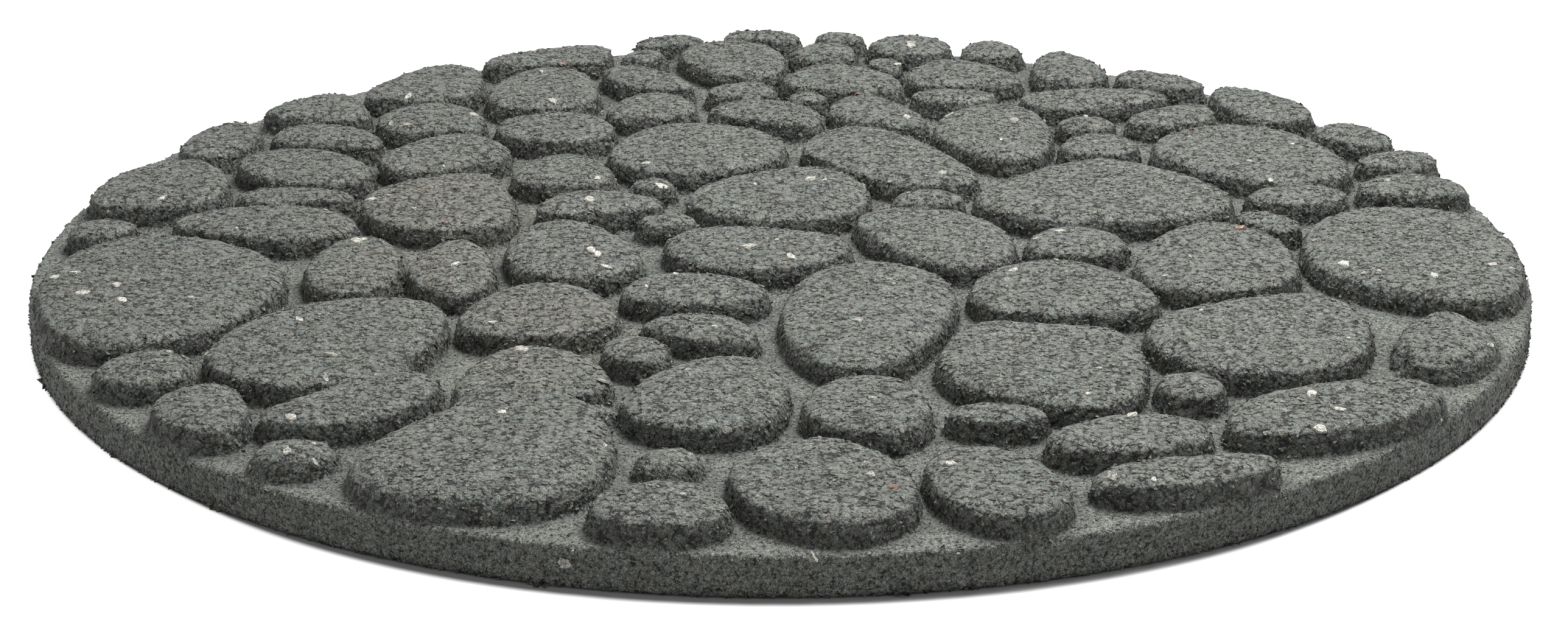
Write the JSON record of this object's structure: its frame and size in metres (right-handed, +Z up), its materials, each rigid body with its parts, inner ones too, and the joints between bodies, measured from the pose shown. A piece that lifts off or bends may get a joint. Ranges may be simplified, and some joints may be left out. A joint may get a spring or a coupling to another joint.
{
  "type": "garden stepping stone",
  "caption": "Round garden stepping stone pressed in one piece from bonded rubber crumb, with raised flat-topped river cobbles on a flat slab, laid on soil or gravel to walk on",
  "frame": {"origin": "middle of the flat underside", "axes": "+Z up out of the cobbled face, -Y towards the side nearest the camera"},
  "size_m": [0.4571, 0.4572, 0.02],
  "materials": {
    "rubber_crumb": "matte bonded crumb, dark grey with a few pale chips"
  },
  "bodies": {
    "root": {"stepping_stone": "rubber_crumb"}
  },
  "joints": []
}
